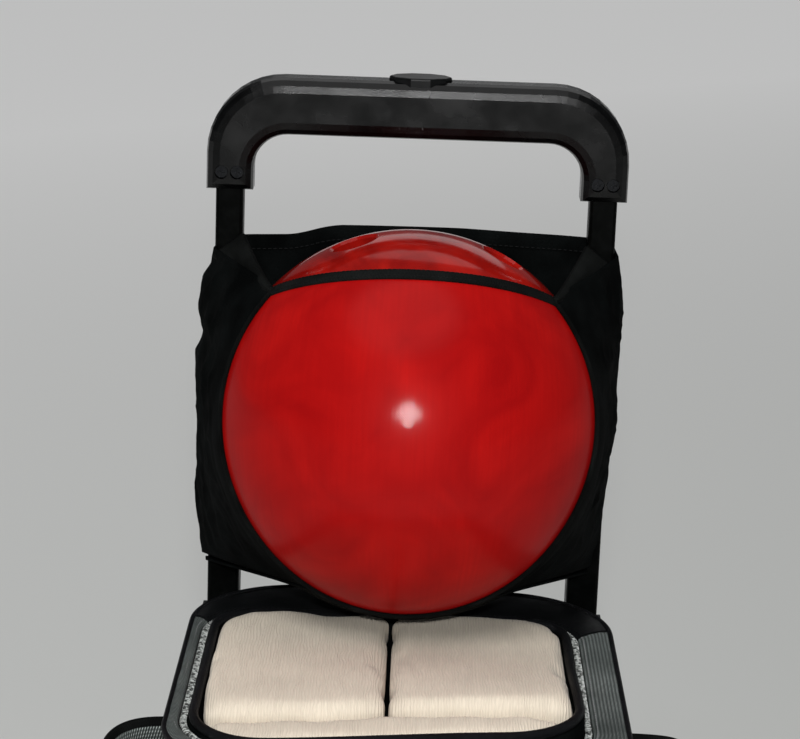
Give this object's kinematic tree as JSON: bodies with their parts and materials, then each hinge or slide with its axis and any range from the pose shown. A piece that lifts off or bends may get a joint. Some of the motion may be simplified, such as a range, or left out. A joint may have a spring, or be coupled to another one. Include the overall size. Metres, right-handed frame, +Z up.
{
  "type": "bowling ball bag",
  "caption": "Wheeled soft bag with a telescoping pull handle and a mesh pouch on the handle's tubes that carries a bowling ball.",
  "frame": {"origin": "centre of the bounding box on the floor", "axes": "+Z up, -Y to the front where the ball faces, +X to the right as seen from the front"},
  "size_m": [0.326, 0.352, 0.761],
  "materials": {
    "grip_plastic": "fine moulded grain",
    "button_plastic": "smooth satin",
    "link_plastic": "plain",
    "spring_steel": "drawn wire",
    "screw_metal": "blackened",
    "tube_black": "black anodised",
    "tube_bare": "satin anodised",
    "collar_plastic": "plain",
    "rod_steel": "drawn",
    "pouch_cloth": "matt woven",
    "pouch_mesh": "fine satin stretch mesh",
    "pouch_binding": "ribbed binding tape",
    "ball_resin": "polished, slightly swirled",
    "tray_plastic": "moulded grain",
    "bag_cloth": "ribbed woven, satin",
    "foam": "closed-cell foam",
    "rim_cloth": "ribbed woven, satin",
    "yoke_cloth": "smooth coated",
    "lid_cloth": "matt woven",
    "piping_cloth": "satin piping",
    "cushion_cloth": "crinkled rib",
    "zipper_coil": "nylon coil",
    "zipper_metal": "nickel satin",
    "pocket_cloth": "ribbed woven, satin",
    "board_plastic": "plain sheet",
    "bracket_plastic": "moulded grain",
    "axle_steel": "turned",
    "tyre_rubber": "matt",
    "hub_plastic": "moulded",
    "housing_plastic": "moulded grain",
    "foot_rubber": "matt"
  },
  "bodies": {
    "bag": {"base_tray": "tray_plastic", "front_panel": "bag_cloth", "rear_panel": "bag_cloth", "left_panel": "bag_cloth", "right_panel": "bag_cloth", "foam_cup": "foam", "top_rim": "rim_cloth", "rear_yoke": "yoke_cloth", "lid_panel": "lid_cloth", "lid_piping": "piping_cloth", "cushion_left": "cushion_cloth", "cushion_right": "cushion_cloth", "front_pad": "cushion_cloth", "zipper_coil": "zipper_coil", "side_pocket_left": "pocket_cloth", "side_pocket_right": "pocket_cloth", "front_pocket": "pocket_cloth", "back_board": "board_plastic", "handle_top_bracket": "bracket_plastic", "handle_foot_bracket": "bracket_plastic", "outer_tube_left": "tube_bare", "outer_tube_right": "tube_bare", "axle": "axle_steel", "wheel_housing_left": "housing_plastic", "wheel_housing_right": "housing_plastic", "front_foot_left": "foot_rubber", "front_foot_right": "foot_rubber"},
    "handle_lower": {"middle_tube_left": "tube_black", "middle_tube_right": "tube_black", "stage_collar_left": "collar_plastic", "stage_collar_right": "collar_plastic", "pouch_back_panel": "pouch_cloth", "pouch_front_mesh": "pouch_mesh", "pouch_top_binding": "pouch_binding", "pouch_bottom": "pouch_cloth", "pouch_gusset_left": "pouch_cloth", "pouch_gusset_right": "pouch_cloth", "pouch_corner_strap_left": "pouch_cloth", "pouch_corner_strap_right": "pouch_cloth"},
    "handle_upper": {"inner_tube_left": "tube_black", "inner_tube_right": "tube_black", "grip_front_shell": "grip_plastic", "grip_back_shell": "grip_plastic", "button_spring": "spring_steel", "grip_screw_1": "screw_metal", "grip_screw_2": "screw_metal", "grip_screw_3": "screw_metal", "grip_screw_4": "screw_metal"},
    "release": {"release_button": "button_plastic", "release_link": "link_plastic", "push_rod_left": "rod_steel", "push_rod_right": "rod_steel"},
    "ball": {"bowling_ball": "ball_resin"},
    "zip_slider": {"zip_slider": "zipper_metal"},
    "zip_pull": {"zip_pull": "zipper_metal"},
    "wheel_left": {"wheel_tyre_left": "tyre_rubber", "wheel_hub_left": "hub_plastic"},
    "wheel_right": {"wheel_tyre_right": "tyre_rubber", "wheel_hub_right": "hub_plastic"}
  },
  "joints": [
    {"name": "handle_lower_slide", "type": "slide", "parent": "bag", "child": "handle_lower", "axis": [0, 0, 1], "range_m": [0, 0.18]},
    {"name": "handle_upper_slide", "type": "slide", "parent": "handle_lower", "child": "handle_upper", "axis": [0, 0, 1], "range_m": [-0.02, 0.2]},
    {"name": "release_press", "type": "slide", "parent": "handle_upper", "child": "release", "axis": [0, 0, -1], "range_m": [0, 0.005], "stiffness_N_per_m": 400, "springref_m": -0.01, "deforming": ["button_spring"]},
    {"name": "ball_out", "type": "slide", "parent": "handle_lower", "child": "ball", "axis": [0, -0.9613, 0.2756], "range_m": [0, 0.25], "deforming": ["pouch_front_mesh", "pouch_top_binding"]},
    {"name": "zip_slide", "type": "slide", "parent": "bag", "child": "zip_slider", "axis": [1, 0, 0], "range_m": [-0.095, 0.01]},
    {"name": "zip_pull_swing", "type": "hinge", "parent": "zip_slider", "child": "zip_pull", "pos_m": [0.037, -0.1416, 0.45635], "axis": [1, 0, 0], "range_deg": [-100, 0]},
    {"name": "wheel_left_spin", "type": "hinge", "parent": "bag", "child": "wheel_left", "pos_m": [-0.142, 0.126, 0.05], "axis": [1, 0, 0], "continuous": true},
    {"name": "wheel_right_spin", "type": "hinge", "parent": "bag", "child": "wheel_right", "pos_m": [0.142, 0.126, 0.05], "axis": [1, 0, 0], "continuous": true}
  ]
}
